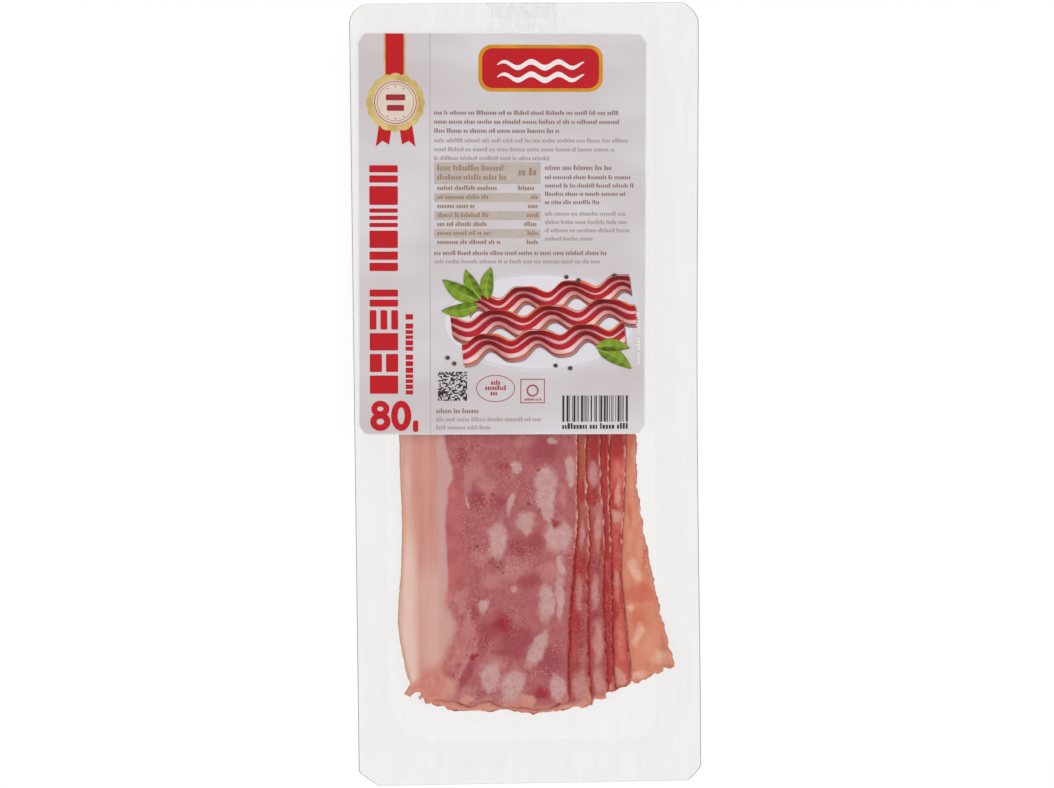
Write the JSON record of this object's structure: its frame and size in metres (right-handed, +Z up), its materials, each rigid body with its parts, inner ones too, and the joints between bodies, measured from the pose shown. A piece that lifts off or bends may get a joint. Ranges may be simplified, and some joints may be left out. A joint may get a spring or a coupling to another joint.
{
  "type": "sliced bacon pack",
  "caption": "Flat clear tray of shingled bacon slices under a sealed lid film, with a large paper label and a strip of clear tape.",
  "frame": {"origin": "middle of the pack's footprint, on the surface that the tray's floor rests on", "axes": "+Z up through the lid, +Y along the pack towards its taped top end, +X to the right as the label faces up"},
  "size_m": [0.13, 0.2942, 0.0084],
  "materials": {
    "clear_film": "clear glossy thermoformed film",
    "label_paper": "coated silver-grey paper with printed bars, blocks and figures",
    "clear_tape": "clear packing tape, faintly yellow",
    "bacon": null
  },
  "bodies": {
    "root": {"tray": "clear_film", "lid_film": "clear_film", "label": "label_paper", "tape": "clear_tape", "slice_1": "bacon", "slice_2": "bacon", "slice_3": "bacon", "slice_4": "bacon", "slice_5": "bacon", "slice_6": "bacon"}
  },
  "joints": []
}
